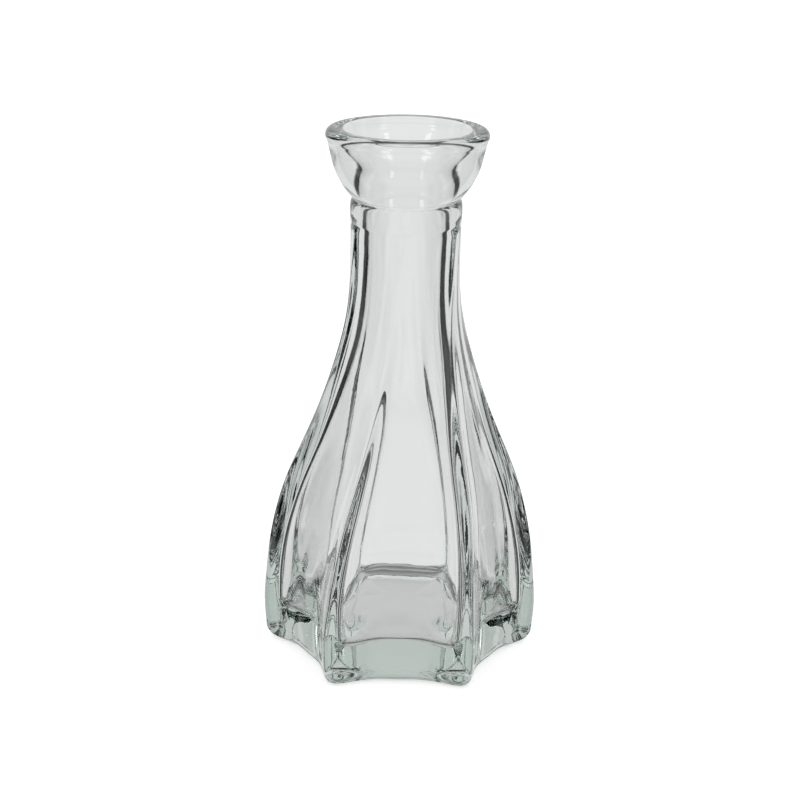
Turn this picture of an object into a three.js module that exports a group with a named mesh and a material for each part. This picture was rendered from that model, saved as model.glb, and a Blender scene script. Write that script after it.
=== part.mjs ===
// A bud vase moulded from one piece of clear, slightly green glass.
//
// From the table up it has a six-pointed foot with hollow-sided panels, ribs that climb from the
// points and swirl round to the neck, a plain collar, and a bowl-shaped mouth with a thick lip.
// Units are millimetres, +Z is up, and the origin is the centre of the foot on the table.
// At the foot one rib points along +X and one panel faces -Y.

import * as THREE from "three";

// ---- Driving dimensions ----

const HEIGHT = 150;
const RIBS = 6;

const FOOT_RADIUS = 38.6; // over the ribs, just above the foot's rounded edge
const FOOT_FLUTE = 7.95; // how far a panel's middle lies inside the ribs there
const FOOT_EDGE = 4; // radius of the rounding between the foot and the table
const PUNT_RADIUS = 26; // flat hollow under the foot
const PUNT_STEP = 1.5; // width of its sloping edge
const PUNT_DEPTH = 0.8;
const NECK_RADIUS = 15.9; // over the ribs, under the collar
const NECK_FLUTE = 0.7;
const COLLAR_RADIUS = 15.3;
const COLLAR_BASE = 124.6;
const COLLAR_TOP = 130.8;
const LIP_RADIUS = 22.2;
const LIP_HEIGHT = 148.2; // where the lip is widest
const RIM_EDGE = 0.8; // rounding between the top of the lip and the mouth
const MOUTH_RADIUS = 17.2; // inside, at the top
const BORE_RADIUS = 10.75; // inside the neck, at its narrowest

const FLOOR_HEIGHT = 10; // top of the glass floor inside, at the ribs
const FLOOR_RISE = 2.2; // how much higher it is in its middle and along the panels
const FLOOR_RADIUS = 28; // where the floor starts to turn up into the wall
const FLOOR_FLUTE = 3;
const HEEL = 3.5; // height of that turn
const WALL_RADIUS = 33.2; // inside, above the heel
const WALL_FLUTE = 7;

const SWIRL = 30; // degrees that the ribs turn between these two heights
const SWIRL_START = 12;
const SWIRL_END = COLLAR_BASE;
const SWIRL_EASE = 1.75;

// A rib's shape at the foot, on the body and in the neck. Its crest is rounded over these degrees
// either side, and a higher spread makes it narrower.
const RIB_ROUNDING = [3.4, 2.8, 3];
const RIB_SPREAD = [3.05, 4.5, 2.2];
const RIB_ROUNDING_INSIDE = [4, 4, 7];
const RIB_SPREAD_INSIDE = [2.25, 2.6, 1.8];
const BODY_START = 20; // heights between which the foot's shape becomes the body's
const BODY_END = 42;
const NECK_START = 58; // and the body's becomes the neck's
const NECK_END = 92;

const SEGMENTS = 72; // round the vase
const CROWDING = 0.5; // how strongly they gather at the ribs

// ---- Profile ----
// A station is a point of the profile over a rib. Mid-panel the same point lies inwards by the
// flute depth, and higher by the rise.

const station = (radius, flute, height, rise = 0) => ({ radius, flute, height, rise });

// A smooth run of points through a few stations.
function sweep(stations, pieces) {
  const through = stations.map((s) => new THREE.Vector3(s.radius, s.flute, s.height));
  const curve = new THREE.CatmullRomCurve3(through, false, "centripetal");
  return curve.getPoints(pieces).map((p) => station(p.x, p.y, p.z));
}

// A circular rounding about a centre, from one angle to another in degrees.
function rounding(centreRadius, centreHeight, size, from, to, pieces, flute = 0) {
  const points = [];
  for (let i = 0; i <= pieces; i++) {
    const angle = THREE.MathUtils.degToRad(THREE.MathUtils.lerp(from, to, i / pieces));
    points.push(
      station(centreRadius + size * Math.cos(angle), flute, centreHeight + size * Math.sin(angle)),
    );
  }
  return points;
}

function undersideProfile() {
  return [
    station(0, 0, PUNT_DEPTH),
    station(PUNT_RADIUS - PUNT_STEP, 0, PUNT_DEPTH),
    station(PUNT_RADIUS, 0, 0),
  ];
}

function flankProfile() {
  const edge = rounding(FOOT_RADIUS - FOOT_EDGE, FOOT_EDGE, FOOT_EDGE, -90, 0, 4, FOOT_FLUTE);
  const flank = sweep(
    [
      station(FOOT_RADIUS, FOOT_FLUTE, FOOT_EDGE),
      station(39.15, 7.8, 12),
      station(38.65, 7.3, 20),
      station(37.65, 6.8, 30),
      station(35.8, 6.2, 40),
      station(33.0, 5.3, 50),
      station(29.0, 4.4, 60),
      station(24.9, 3.3, 70),
      station(21.45, 2.3, 80),
      station(18.65, 1.7, 90),
      station(16.7, 1.2, 100),
      station(16.05, 0.9, 110),
      station(NECK_RADIUS, NECK_FLUTE, COLLAR_BASE - 0.8),
    ],
    18,
  );
  return [...edge, ...flank.slice(1)];
}

function collarProfile() {
  return [
    station(COLLAR_RADIUS, 0, COLLAR_BASE),
    station(COLLAR_RADIUS, 0, COLLAR_TOP - 1.2),
    station(COLLAR_RADIUS - 0.5, 0, COLLAR_TOP),
  ];
}

function bowlProfile() {
  const bowl = sweep(
    [
      station(14.8, 0, COLLAR_TOP + 0.4),
      station(15.9, 0, 132.4),
      station(18.1, 0, 135.6),
      station(19.9, 0, 139.5),
      station(21.0, 0, 143.8),
      station(21.75, 0, 146.9),
    ],
    8,
  );
  const lipSize = HEIGHT - LIP_HEIGHT;
  const lip = rounding(LIP_RADIUS - lipSize, LIP_HEIGHT, lipSize, 0, 90, 3);
  return [...bowl, ...lip];
}

function boreProfile() {
  const rim = rounding(MOUTH_RADIUS + RIM_EDGE, HEIGHT - RIM_EDGE, RIM_EDGE, 90, 180, 2);
  const bore = sweep(
    [
      station(MOUTH_RADIUS, 0, HEIGHT - RIM_EDGE),
      station(16.5, 0, 145.5),
      station(14.0, 0, 139.7),
      station(12.5, 0, 135),
      station(11.7, 0, 131),
      station(11.05, 0, 125),
      station(BORE_RADIUS, 0, 116),
      station(11.2, 0, 103),
      station(13.1, 0, 91),
      station(17.4, 0.5, 75),
      station(22.4, 1.5, 60),
      station(27.2, 2.8, 48),
      station(30.6, 4.2, 38),
      station(32.8, 5.4, 26),
    ],
    17,
  );
  return [...rim, ...bore.slice(1)];
}

// The heel, from the wall round to the floor, and the floor as a low dome.
function floorProfile() {
  const points = [];
  for (const degrees of [0, 30, 60, 90]) {
    const angle = THREE.MathUtils.degToRad(degrees);
    const radius = THREE.MathUtils.lerp(FLOOR_RADIUS, WALL_RADIUS, Math.cos(angle));
    const flute = THREE.MathUtils.lerp(FLOOR_FLUTE, WALL_FLUTE, Math.cos(angle));
    points.push(station(radius, flute, FLOOR_HEIGHT + HEEL * (1 - Math.sin(angle)), FLOOR_RISE));
  }
  for (const share of [0.66, 0.33, 0]) {
    const rise = FLOOR_RISE * share ** 2;
    const height = FLOOR_HEIGHT + FLOOR_RISE - rise;
    points.push(station(FLOOR_RADIUS * share, FLOOR_FLUTE * share, height, rise));
  }
  return points;
}

const outside = [
  ...undersideProfile(),
  ...flankProfile(),
  ...collarProfile(),
  ...bowlProfile(),
];
const inside = [...boreProfile(), ...floorProfile()];
const profile = [...outside, ...inside];

// ---- Ribs ----

// How far the ribs have swirled at a height, in radians.
function swirlAt(height) {
  const rise = THREE.MathUtils.clamp((height - SWIRL_START) / (SWIRL_END - SWIRL_START), 0, 1);
  return THREE.MathUtils.degToRad(SWIRL) * rise ** SWIRL_EASE;
}

// A value that changes from the foot's to the body's to the neck's.
function along([foot, body, neck], height) {
  const toBody = THREE.MathUtils.smoothstep(height, BODY_START, BODY_END);
  const toNeck = THREE.MathUtils.smoothstep(height, NECK_START, NECK_END);
  return foot + (body - foot) * toBody + (neck - body) * toNeck;
}

// How much of the flute is filled at an angle from the nearest rib: 1 on the rib, 0 mid-panel.
function ribFill(angle, height, isInside) {
  const round = along(isInside ? RIB_ROUNDING_INSIDE : RIB_ROUNDING, height);
  const spread = along(isInside ? RIB_SPREAD_INSIDE : RIB_SPREAD, height);
  const away = Math.hypot(THREE.MathUtils.radToDeg(angle), round) - round;
  const furthest = Math.hypot(180 / RIBS, round) - round;
  return Math.max(0, 1 - away / furthest) ** spread;
}

// ---- The vase ----

function vaseGeometry() {
  const outline = profile.map((s) => new THREE.Vector2(s.radius, s.height));
  const geometry = new THREE.LatheGeometry(outline, SEGMENTS);
  const position = geometry.getAttribute("position");
  const panel = (2 * Math.PI) / RIBS;
  for (let i = 0; i < position.count; i++) {
    const row = i % profile.length;
    const column = Math.floor(i / profile.length) % SEGMENTS;
    const { radius, flute, height, rise } = profile[row];
    const even = (column / SEGMENTS) * 2 * Math.PI;
    const fromRib = even - (CROWDING / RIBS) * Math.sin(RIBS * even);
    const nearest = fromRib - panel * Math.round(fromRib / panel);
    const hollow = 1 - ribFill(nearest, height, row >= outside.length);
    const r = radius - flute * hollow;
    const turned = fromRib + swirlAt(height);
    position.setXYZ(i, r * Math.cos(turned), r * Math.sin(turned), height + rise * hollow);
  }
  geometry.computeVertexNormals();
  return geometry;
}

const glass = new THREE.MeshStandardMaterial({
  color: 0xdfe9e4,
  roughness: 0.03,
  metalness: 0,
  transparent: true,
  opacity: 0.35,
});

const vase = new THREE.Mesh(vaseGeometry(), glass);
vase.name = "vase_glass";

const group = new THREE.Group();
group.add(vase);

export default group;
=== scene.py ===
"""Bud vase in one piece of clear, slightly green glass, standing on a pale floor.

The CAD frame gives the vase's place and its height. The shape is the CAD model's own, made again
with softer edges and a much finer surface, because glass shows every facet through its refraction.
"""
import math
import bpy
import numpy as np
from mathutils import Matrix, Vector


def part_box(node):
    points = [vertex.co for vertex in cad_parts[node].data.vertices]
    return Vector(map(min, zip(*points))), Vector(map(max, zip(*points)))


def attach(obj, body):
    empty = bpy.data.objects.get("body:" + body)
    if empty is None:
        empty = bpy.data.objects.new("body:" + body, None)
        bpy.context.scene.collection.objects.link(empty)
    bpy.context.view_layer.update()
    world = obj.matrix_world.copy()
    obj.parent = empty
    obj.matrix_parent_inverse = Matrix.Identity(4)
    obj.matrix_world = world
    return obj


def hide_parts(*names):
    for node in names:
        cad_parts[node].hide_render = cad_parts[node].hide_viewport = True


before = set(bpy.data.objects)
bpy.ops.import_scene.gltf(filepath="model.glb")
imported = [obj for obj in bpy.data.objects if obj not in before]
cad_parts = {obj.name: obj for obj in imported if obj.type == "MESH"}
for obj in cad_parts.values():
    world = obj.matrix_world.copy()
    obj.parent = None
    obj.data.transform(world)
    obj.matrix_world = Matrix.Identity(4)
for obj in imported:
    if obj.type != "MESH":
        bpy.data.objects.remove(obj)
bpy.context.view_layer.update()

MM = 0.001
glass_low, glass_high = (Vector(corner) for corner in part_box("vase_glass"))
glass_middle = (glass_low + glass_high) / 2
TABLE = Vector((glass_middle.x, glass_middle.y, glass_low.z))  # where the vase's axis meets it

# ---- Shape, in millimetres ----
# A station is a point of the profile: (radius over a rib, flute depth, height over a rib, rise).
# Mid-panel the same point lies inwards by the flute depth, and higher by the rise, if it has one.

HEIGHT = round((glass_high.z - glass_low.z) / MM, 3)
RIBS = 6
SEGMENTS = 288  # round the vase
CROWDING = 0.5  # how strongly they gather at the ribs

FOOT_RADIUS = 38.6  # over the ribs, just above the foot's rounded edge
FOOT_FLUTE = 7.95
FOOT_EDGE = 4.0  # radius of the rounding between the foot and the table
PUNT_RADIUS = 26.0  # flat hollow under the foot
PUNT_STEP = 1.5  # width of its sloping edge
PUNT_DEPTH = 0.8
LIP_RADIUS = 22.2
LIP_HEIGHT = 148.2  # where the lip is widest
LIP_START = -8  # degrees from level at which its rounding starts, so a little under its widest
RIM_EDGE = 0.8  # rounding between the top of the lip and the mouth
MOUTH_RADIUS = 17.2  # inside, at the top

FLOOR_HEIGHT = 10.0  # top of the glass floor inside, at the ribs
FLOOR_RISE = 2.2  # how much higher it is in its middle and along the panels
FLOOR_RADIUS = 28.0  # where the floor starts to turn up into the wall
FLOOR_FLUTE = 3.0
HEEL = 3.5  # height of that turn
WALL_RADIUS = 33.2  # inside, above the heel
WALL_FLUTE = 7.0

FLANK = [
    (39.15, 7.8, 12), (38.65, 7.3, 20), (37.65, 6.8, 30), (35.8, 6.2, 40), (33.0, 5.3, 50),
    (29.0, 4.4, 60), (24.9, 3.3, 70), (21.45, 2.3, 80), (18.65, 1.7, 90), (16.7, 1.2, 100),
    (16.05, 0.9, 110), (15.85, 0.75, 117), (15.9, 0.7, 123.8),
]
COLLAR = [
    (15.55, 0.4, 124.2), (15.3, 0.05, 124.5), (15.27, 0, 124.9), (15.3, 0, 126.2),
    (15.33, 0, 127.8), (15.3, 0, 129.3), (15.2, 0, 130.0), (15.0, 0, 130.45), (14.8, 0, 130.7),
]
BOWL = [
    (14.7, 0, 130.95), (14.85, 0, 131.2), (15.3, 0, 131.7), (15.9, 0, 132.4), (18.1, 0, 135.6),
    (19.9, 0, 139.5), (21.0, 0, 143.8), (21.7, 0, 146.6),
]
UNDER_LIP = [(21.75, 0, 147.0), (22.05, 0, 147.4)]
BORE = [
    (MOUTH_RADIUS, 0, HEIGHT - RIM_EDGE), (16.5, 0, 145.5), (14.0, 0, 139.7), (12.5, 0, 135),
    (11.7, 0, 131), (11.05, 0, 125), (10.75, 0, 116), (11.2, 0, 103), (13.1, 0, 91),
    (17.4, 0.5, 75), (22.4, 1.5, 60), (27.2, 2.8, 48), (30.6, 4.2, 38), (32.8, 5.4, 26),
    (WALL_RADIUS, WALL_FLUTE, FLOOR_HEIGHT + HEEL, FLOOR_RISE),
]

# A rib's shape at the foot, on the body and in the neck. Its crest is rounded over these degrees
# either side, and a higher spread makes it narrower.
RIB_ROUNDING = 3.4, 2.8, 3.0
RIB_SPREAD = 3.05, 4.5, 2.2
RIB_ROUNDING_INSIDE = 4.0, 4.0, 7.0
RIB_SPREAD_INSIDE = 2.25, 2.6, 1.8
BODY_START, BODY_END = 20, 42  # heights between which the foot's shape becomes the body's
NECK_START, NECK_END = 58, 92  # and the body's becomes the neck's

SWIRL = 30  # degrees that the ribs turn between these two heights
SWIRL_START = 12
SWIRL_END = 124.6  # the bottom of the collar
SWIRL_EASE = 1.75

# Painted shade under the foot: a glowing patch that stands in for the table's shadow, darkest at
# its edge as a painted contact shadow. (share of its radius, tone) from its middle outwards.
SHADE = [(0.0, 0.58), (0.7, 0.55), (0.85, 0.42), (0.95, 0.2), (1.0, 0.05), (1.04, 0.03)]
SHADE_RADIUS = 36.7  # over the ribs
SHADE_GAP = 0.1  # below the foot
PAPER_GAP = 0.2  # the studio floor, below the foot

# ---- Glass ----

IOR = 1.5
TINT = (0.86, 0.89, 0.875, 1)
TINT_DENSITY = 60  # per metre of glass
WEAR_SCALE, WEAR_DETAIL = 260, 4
WEAR_FROM, WEAR_TO = 0.45, 0.8  # between these values of the noise the glass gets rougher
WEAR_ROUGHNESS = 0.05
WAVE_SCALE, WAVE_DETAIL = 140, 1
RIPPLE_SCALE, RIPPLE_DETAIL = 700, 2
RIPPLE_SHARE = 0.12  # of the waves' depth
WAVE_DEPTH = 0.00005  # metres

# ---- Studio, in metres and degrees ----

WHITE = (1, 1, 1, 1)
PAPER_TONE = 0.93
PAPER_ROUGHNESS = 0.9
PAPER_GLOW = 0.49  # lifts the pale floor to plain white
PAPER_RADIUS = 6
PAPER_SIDES = 128

SKY_TONE = 0.82
FLAG_TONE = 0.03
FLAG_EDGE_TONE = 0.80
FLAG_START, FLAG_END = 46, 89  # off the line from front to back
FLAG_SOFTNESS = 8
FLAG_FADE = 0.1, 0.35  # upward part of the direction over which a flag ends
COOLNESS = 1.005  # blue over red
FLOOR_FADE = -0.92, -0.70  # upward part of the direction over which the light darkens downwards
FLOOR_LIGHT = 0.06  # straight down
BACKDROP_STRENGTH = 1.1  # what the camera sees behind the vase

SOFTBOX_SIDE, SOFTBOX_UP = 43, 30
SOFTBOX_AIM = 0.1  # height that it points at
SOFTBOX_DISTANCE = 1
SOFTBOX_WIDTH, SOFTBOX_LENGTH = 0.16, 0.3
SOFTBOX_POWER = 0.5

CAMERA_PLACE = Vector((0, -0.5177, 0.2444))  # from where the vase's axis meets the table
CAMERA_PAN, CAMERA_TILT, CAMERA_ROLL = 0.0876, 18.32, 1.007
SENSOR_WIDTH, LENS = 36, 87.381  # millimetres
CLIP_START = 0.01
REFLECTIONS, PASSES = 8, 24  # most that a light path may have


# ---- Profile ----

def stations(rows):
    """Stations as an array, with a rise of 0 where none is given."""
    return np.array([tuple(row) + (0,) * (4 - len(row)) for row in rows], float)


def spline(rows, pieces):
    """A natural cubic spline through the stations, cut into even pieces."""
    points = stations(rows)
    steps = np.linalg.norm(np.diff(points[:, [0, 2]], axis=0), axis=1)
    knots = np.concatenate([[0], np.cumsum(steps)])
    gaps = np.diff(knots)
    equations = np.eye(len(points))
    results = np.zeros(points.shape)
    for i in range(1, len(points) - 1):
        last, this = gaps[i - 1], gaps[i]
        equations[i, i - 1 : i + 2] = last, 2 * (last + this), this
        results[i] = 6 * ((points[i + 1] - points[i]) / this - (points[i] - points[i - 1]) / last)
    bend = np.linalg.solve(equations, results)
    places = np.linspace(0, knots[-1], pieces + 1)
    k = np.clip(np.searchsorted(knots, places, "right") - 1, 0, len(points) - 2)
    past, left = (places - knots[k])[:, None], (knots[k + 1] - places)[:, None]
    gap = gaps[k][:, None]
    return (
        bend[k] * left**3 / (6 * gap)
        + bend[k + 1] * past**3 / (6 * gap)
        + (points[k] / gap - bend[k] * gap / 6) * left
        + (points[k + 1] / gap - bend[k + 1] * gap / 6) * past
    )


def rounding(radius, height, size, start, end, pieces, flute=0):
    """A circular rounding about a centre, from one angle to another in degrees."""
    angle = np.radians(np.linspace(start, end, pieces + 1))
    around = zip(radius + size * np.cos(angle), height + size * np.sin(angle))
    return stations([(across, flute, up) for across, up in around])


def line(start, end, pieces):
    """A straight run between two stations."""
    start, end = stations([start, end])
    return np.linspace(start, end, pieces + 1)


def underside_profile():
    """The hollow under the foot, its sloping edge, and the flat ring that stands on the table."""
    hollow_edge = (PUNT_RADIUS - PUNT_STEP, 0, PUNT_DEPTH)
    ring_start = (PUNT_RADIUS, 0, 0)
    ring_end = (FOOT_RADIUS - FOOT_EDGE, FOOT_FLUTE, 0)
    hollow = line((0, 0, PUNT_DEPTH), hollow_edge, pieces=6)
    slope = line(hollow_edge, ring_start, pieces=3)
    ring = line(ring_start, ring_end, pieces=4)
    return [hollow, slope[1:], ring[1:]]


def lip_profile():
    """The thick rounded lip, and the small rounding at the mouth."""
    size = HEIGHT - LIP_HEIGHT
    lip = rounding(LIP_RADIUS - size, LIP_HEIGHT, size, LIP_START, 90, pieces=10)
    rim = rounding(MOUTH_RADIUS + RIM_EDGE, HEIGHT - RIM_EDGE, RIM_EDGE, 90, 180, pieces=6)
    return [stations(UNDER_LIP), lip, rim[1:]]


def outside_profile():
    """From the middle of the underside, up the flank, to the mouth."""
    edge_centre = FOOT_RADIUS - FOOT_EDGE
    edge = rounding(edge_centre, FOOT_EDGE, FOOT_EDGE, -90, 0, pieces=16, flute=FOOT_FLUTE)
    flank = spline([(FOOT_RADIUS, FOOT_FLUTE, FOOT_EDGE)] + FLANK, pieces=92)
    collar = spline(COLLAR, pieces=30)
    bowl = spline(BOWL, pieces=34)
    return np.vstack([*underside_profile(), edge[1:], flank[1:], collar, bowl, *lip_profile()])


def heel_profile():
    """The turn from the inner wall down to the glass floor."""
    angle = np.radians(np.linspace(0, 90, 21))[1:]
    return np.column_stack(
        [
            FLOOR_RADIUS + (WALL_RADIUS - FLOOR_RADIUS) * np.cos(angle),
            FLOOR_FLUTE + (WALL_FLUTE - FLOOR_FLUTE) * np.cos(angle),
            FLOOR_HEIGHT + HEEL * (1 - np.sin(angle)),
            np.full(len(angle), FLOOR_RISE),
        ]
    )


def floor_profile():
    """The glass floor, a low dome, from its edge to its middle."""
    share = np.linspace(1, 0, 11)[1:]
    return np.column_stack(
        [
            FLOOR_RADIUS * share,
            FLOOR_FLUTE * share,
            FLOOR_HEIGHT + FLOOR_RISE * (1 - share**2),
            FLOOR_RISE * share**2,
        ]
    )


def inside_profile():
    """From the mouth, down the bore, to the middle of the glass floor."""
    bore = spline(BORE, pieces=90)
    return np.vstack([bore[1:], heel_profile(), floor_profile()])


# ---- Ribs ----

def smoothstep(value, low, high):
    share = np.clip((value - low) / (high - low), 0, 1)
    return share * share * (3 - 2 * share)


def along(values, height):
    """A value that changes from the foot's to the body's to the neck's."""
    foot, body, neck = values
    to_body = smoothstep(height, BODY_START, BODY_END)
    to_neck = smoothstep(height, NECK_START, NECK_END)
    return foot + (body - foot) * to_body + (neck - body) * to_neck


def from_rib(angle):
    """The angle from the nearest rib, in degrees."""
    panel = 2 * math.pi / RIBS
    return np.degrees(angle - panel * np.round(angle / panel))


def rib_fill(angle, height, within):
    """How much of the flute is filled: 1 on a rib's crest, 0 in the middle of a panel."""
    rounded = np.where(within, along(RIB_ROUNDING_INSIDE, height), along(RIB_ROUNDING, height))
    spread = np.where(within, along(RIB_SPREAD_INSIDE, height), along(RIB_SPREAD, height))
    away = np.hypot(angle, rounded) - rounded
    furthest = np.hypot(180 / RIBS, rounded) - rounded
    return np.clip(1 - away / furthest, 0, 1) ** spread


def swirl(height):
    """How far the ribs have turned at a height, in radians."""
    share = np.clip((height - SWIRL_START) / (SWIRL_END - SWIRL_START), 0, 1)
    return np.radians(SWIRL) * share**SWIRL_EASE


# ---- Meshes ----

def even_angles():
    return np.arange(SEGMENTS) / SEGMENTS * 2 * math.pi


def neighbours():
    return [(i, (i + 1) % SEGMENTS) for i in range(SEGMENTS)]


def fan(centre, ring):
    """Triangles between a point and a ring, given the ring's first point."""
    return [(centre, ring + i, ring + j) for i, j in neighbours()]


def quads(ring, other):
    """Faces between two rings, given each one's first point."""
    return [(ring + i, ring + j, other + j, other + i) for i, j in neighbours()]


def new_mesh(name, points, faces):
    """A mesh from points in millimetres about the middle of the foot."""
    mesh = bpy.data.meshes.new(name)
    mesh.from_pydata((np.array(points) * MM + np.array(TABLE)).tolist(), [], faces)
    return mesh


def new_object(name, data):
    made = bpy.data.objects.new(name, data)
    bpy.context.scene.collection.objects.link(made)
    return made


def vase_mesh():
    """The profile turned round the axis, with the flutes taken out and the ribs swirled."""
    outside, inside = outside_profile(), inside_profile()
    profile = np.vstack([outside, inside])
    within = (np.arange(len(profile)) >= len(outside))[:, None]
    radius, flute, height, rise = profile.T[:, :, None]
    even = even_angles()
    around = even - CROWDING / RIBS * np.sin(RIBS * even)
    hollow = 1 - rib_fill(from_rib(around), height, within)
    across = radius - flute * hollow
    turned = around + swirl(height)
    rows = [across * np.cos(turned), across * np.sin(turned), height + rise * hollow]
    rings = np.stack(rows, axis=-1)[1:-1]
    under_foot, on_floor = (0, 0, profile[0, 2]), (0, 0, profile[-1, 2])
    points = np.vstack([under_foot, rings.reshape(-1, 3), on_floor])
    starts = [1 + i * SEGMENTS for i in range(len(rings))]
    faces = [face[::-1] for face in fan(0, starts[0])]
    for start, following in zip(starts, starts[1:]):
        faces += quads(start, following)
    faces += fan(len(points) - 1, starts[-1])
    mesh = new_mesh("bud_vase", points, faces)
    mesh.validate()
    mesh.shade_smooth()
    mesh.update()
    return mesh


# ---- Materials ----

def set_inputs(tree, node, inputs):
    """Set each named input of a node to a value, or link it to another node's output."""
    for name, value in inputs.items():
        if isinstance(value, bpy.types.NodeSocket):
            tree.links.new(value, node.inputs[name])
        else:
            node.inputs[name].default_value = value


def new_node(tree, kind, inputs=None, **settings):
    """A node with these settings, and these values or links on its inputs."""
    node = tree.nodes.new(kind)
    for name, value in settings.items():
        setattr(node, name, value)
    set_inputs(tree, node, inputs or {})
    return node


def calculated(tree, operation, *values):
    """The output of a math node that works on these values or outputs."""
    inputs = dict(enumerate(values))
    return new_node(tree, "ShaderNodeMath", inputs, operation=operation).outputs[0]


def mapped(tree, value, low, high, to_low, to_high, interpolation="LINEAR"):
    """A value that goes from to_low to to_high while another goes from low to high."""
    names = ("Value", "From Min", "From Max", "To Min", "To Max")
    inputs = dict(zip(names, (value, low, high, to_low, to_high)))
    kind = "ShaderNodeMapRange"
    return new_node(tree, kind, inputs, interpolation_type=interpolation).outputs[0]


def principled(name, inputs):
    """A material with these inputs of its Principled shader."""
    material = bpy.data.materials.new(name)
    material.use_nodes = True
    tree = material.node_tree
    set_inputs(tree, tree.nodes["Principled BSDF"], inputs)
    return material


def glass_material():
    """Clear pressed glass: a faint green in the depth, soft waves from the mould, and fine wear."""
    clear = {"Base Color": WHITE, "Transmission Weight": 1, "IOR": IOR}
    material = principled("pressed_glass", clear)
    tree = material.node_tree
    place = new_node(tree, "ShaderNodeTexCoord").outputs["Object"]

    def noise(scale, detail):
        inputs = {"Vector": place, "Scale": scale, "Detail": detail}
        return new_node(tree, "ShaderNodeTexNoise", inputs).outputs["Fac"]

    wear = noise(WEAR_SCALE, WEAR_DETAIL)
    roughness = mapped(tree, wear, WEAR_FROM, WEAR_TO, 0, WEAR_ROUGHNESS)
    waves = noise(WAVE_SCALE, WAVE_DETAIL)
    ripples = noise(RIPPLE_SCALE, RIPPLE_DETAIL)
    surface = calculated(tree, "MULTIPLY_ADD", ripples, RIPPLE_SHARE, waves)
    relief = {"Strength": 1, "Distance": WAVE_DEPTH, "Height": surface}
    normal = new_node(tree, "ShaderNodeBump", relief).outputs["Normal"]
    shader = tree.nodes["Principled BSDF"]
    set_inputs(tree, shader, {"Roughness": roughness, "Normal": normal})

    depth = {"Color": TINT, "Density": TINT_DENSITY}
    absorbed = new_node(tree, "ShaderNodeVolumeAbsorption", depth).outputs["Volume"]
    set_inputs(tree, tree.nodes["Material Output"], {"Volume": absorbed})
    return material


def paper_material():
    """Pale matt paper that glows a little, so that it shows as plain white."""
    paper = {
        "Base Color": (PAPER_TONE, PAPER_TONE, PAPER_TONE, 1),
        "Roughness": PAPER_ROUGHNESS,
        "Specular IOR Level": 0,
        "Emission Color": WHITE,
        "Emission Strength": PAPER_GLOW,
    }
    return principled("studio_paper", paper)


def painted_shade_material():
    """Painted shade: each point glows with its own tone, which stands in for the table's shadow
    seen through the glass.
    """
    material = bpy.data.materials.new("painted_table_shade")
    material.use_nodes = True
    tree = material.node_tree
    tree.nodes.clear()
    tone = new_node(tree, "ShaderNodeAttribute", attribute_name="tone").outputs["Fac"]
    # painted shade: the glow's strength is the tone of the table's painted shadow
    glow = new_node(tree, "ShaderNodeEmission", {"Strength": tone}).outputs[0]
    new_node(tree, "ShaderNodeOutputMaterial", {"Surface": glow})
    return material


# ---- Studio ----

def studio_floor():
    """A wide pale floor, which rays through the glass and off it don't see."""
    place = TABLE - Vector((0, 0, PAPER_GAP * MM))
    bpy.ops.mesh.primitive_circle_add(
        vertices=PAPER_SIDES, radius=PAPER_RADIUS, fill_type="NGON", location=place
    )
    floor = bpy.context.object
    floor.name = "studio_floor"
    floor.data.materials.append(paper_material())
    floor.visible_transmission = False
    floor.visible_glossy = False


def painted_table_shade():
    """Painted shade: a glowing patch right under the foot, in the foot's shape, seen only in the
    glass, which stands in for the table's shadow and is darkest at the foot's edge as a painted
    contact shadow.
    """
    even = even_angles()
    hollow = 1 - rib_fill(from_rib(even), 0, False)
    across = SHADE_RADIUS - FOOT_FLUTE * hollow
    points, tones = [(0, 0, -SHADE_GAP)], [SHADE[0][1]]
    for share, tone in SHADE[1:]:
        reach = across * share
        points += zip(reach * np.cos(even), reach * np.sin(even), [-SHADE_GAP] * SEGMENTS)
        tones += [tone] * SEGMENTS
    starts = [1 + i * SEGMENTS for i in range(len(SHADE) - 1)]
    faces = fan(0, starts[0])
    for start, following in zip(starts, starts[1:]):
        faces += quads(following, start)
    mesh = new_mesh("painted_shade_under_vase", points, faces)
    mesh.attributes.new("tone", "FLOAT", "POINT").data.foreach_set("value", tones)
    mesh.materials.append(painted_shade_material())
    # a glowing patch of painted shade, not a real table
    table = new_object("painted_shade_under_vase", mesh)
    table.visible_camera = False
    table.visible_shadow = False
    table.visible_diffuse = False


def sky_light(tree):
    """White light all round, with a soft dark flag at either side of the front and of the back."""
    direction = new_node(tree, "ShaderNodeTexCoord").outputs["Generated"]
    x, y, z = new_node(tree, "ShaderNodeSeparateXYZ", {0: direction}).outputs
    sideways, lengthways = (calculated(tree, "ABSOLUTE", part) for part in (x, y))
    angle = calculated(tree, "ARCTAN2", sideways, lengthways)
    quarter_share = calculated(tree, "MULTIPLY", angle, 2 / math.pi)
    ramp = new_node(tree, "ShaderNodeValToRGB", {0: quarter_share})
    stops = [
        (0, SKY_TONE), (FLAG_START, FLAG_EDGE_TONE), (FLAG_START + FLAG_SOFTNESS, FLAG_TONE),
        (FLAG_END - FLAG_SOFTNESS, FLAG_TONE), (FLAG_END, FLAG_EDGE_TONE), (90, SKY_TONE),
    ]
    ramp.color_ramp.interpolation = "EASE"
    while len(ramp.color_ramp.elements) < len(stops):
        ramp.color_ramp.elements.new(0.5)
    for element, (degrees, tone) in zip(ramp.color_ramp.elements, stops):
        element.position = degrees / 90
        element.color = (tone, tone, tone * COOLNESS, 1)
    flags = mapped(tree, z, *FLAG_FADE, 1, 0, "SMOOTHSTEP")
    sky = {"Fac": flags, "Color1": (SKY_TONE, SKY_TONE, SKY_TONE, 1), "Color2": ramp.outputs[0]}
    light = new_node(tree, "ShaderNodeMixRGB", sky).outputs["Color"]
    strength = mapped(tree, z, *FLOOR_FADE, FLOOR_LIGHT, 1, "SMOOTHSTEP")
    return new_node(tree, "ShaderNodeBackground", {"Color": light, "Strength": strength}).outputs[0]


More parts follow.
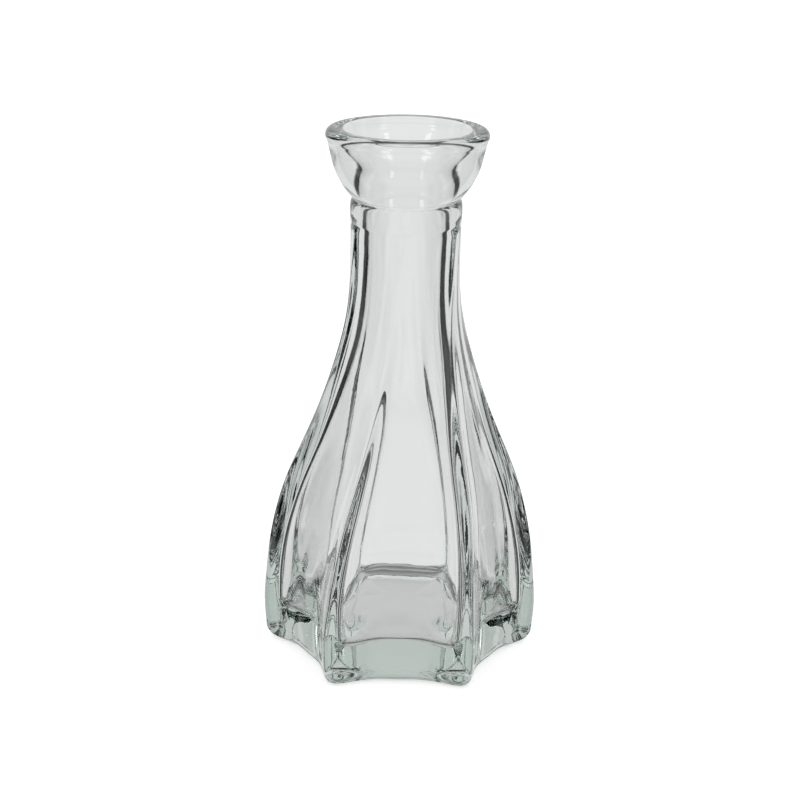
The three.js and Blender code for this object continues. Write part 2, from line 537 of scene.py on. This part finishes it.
def studio_world():
    """The light that falls on the vase. The camera itself sees plain white."""
    world = bpy.data.worlds.new("studio")
    bpy.context.scene.world = world
    world.use_nodes = True
    tree = world.node_tree
    tree.nodes.clear()
    backdrop = {"Color": WHITE, "Strength": BACKDROP_STRENGTH}
    seen = new_node(tree, "ShaderNodeBackground", backdrop).outputs[0]
    by_camera = new_node(tree, "ShaderNodeLightPath").outputs["Is Camera Ray"]
    either = new_node(tree, "ShaderNodeMixShader", {0: by_camera, 1: sky_light(tree), 2: seen})
    new_node(tree, "ShaderNodeOutputWorld", {"Surface": either.outputs[0]})


def softbox(side):
    """A small soft light in front, high at one side, for the soft highlights."""
    turn, rise = math.radians(SOFTBOX_SIDE), math.radians(SOFTBOX_UP)
    away = Vector((side * math.sin(turn), -math.cos(turn), math.tan(rise)))
    lamp = bpy.data.lights.new("softbox", "AREA")
    lamp.shape = "RECTANGLE"
    lamp.size = SOFTBOX_WIDTH
    lamp.size_y = SOFTBOX_LENGTH
    lamp.energy = SOFTBOX_POWER
    box = new_object("softbox", lamp)
    box.location = TABLE + Vector((0, 0, SOFTBOX_AIM)) + SOFTBOX_DISTANCE * away.normalized()
    box.rotation_euler = away.to_track_quat("Z", "Y").to_euler()


def studio_camera():
    """A long lens in front of the vase, looking a little down on it."""
    lens = bpy.data.cameras.new("camera")
    lens.sensor_width = SENSOR_WIDTH
    lens.lens = LENS
    lens.clip_start = CLIP_START
    camera = new_object("camera", lens)
    camera.matrix_world = (
        Matrix.Translation(TABLE + CAMERA_PLACE)
        @ Matrix.Rotation(math.radians(CAMERA_PAN), 4, "Z")
        @ Matrix.Rotation(math.radians(90 - CAMERA_TILT), 4, "X")
        @ Matrix.Rotation(math.radians(CAMERA_ROLL), 4, "Z")
    )
    bpy.context.scene.camera = camera


def light_paths():
    """Room for the many reflections inside solid glass, which would otherwise end in black."""
    cycles = bpy.context.scene.cycles
    cycles.max_bounces = PASSES
    cycles.transmission_bounces = PASSES
    cycles.glossy_bounces = REFLECTIONS


# ---- The scene ----

vase = new_object("bud_vase", vase_mesh())
vase.data.materials.append(glass_material())
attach(vase, "root")
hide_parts("vase_glass")

studio_floor()
# painted shade under the foot, seen only in the glass
painted_table_shade()
studio_world()
for side in (-1, 1):
    softbox(side)
studio_camera()
light_paths()
bpy.context.scene.view_settings.view_transform = "Standard"
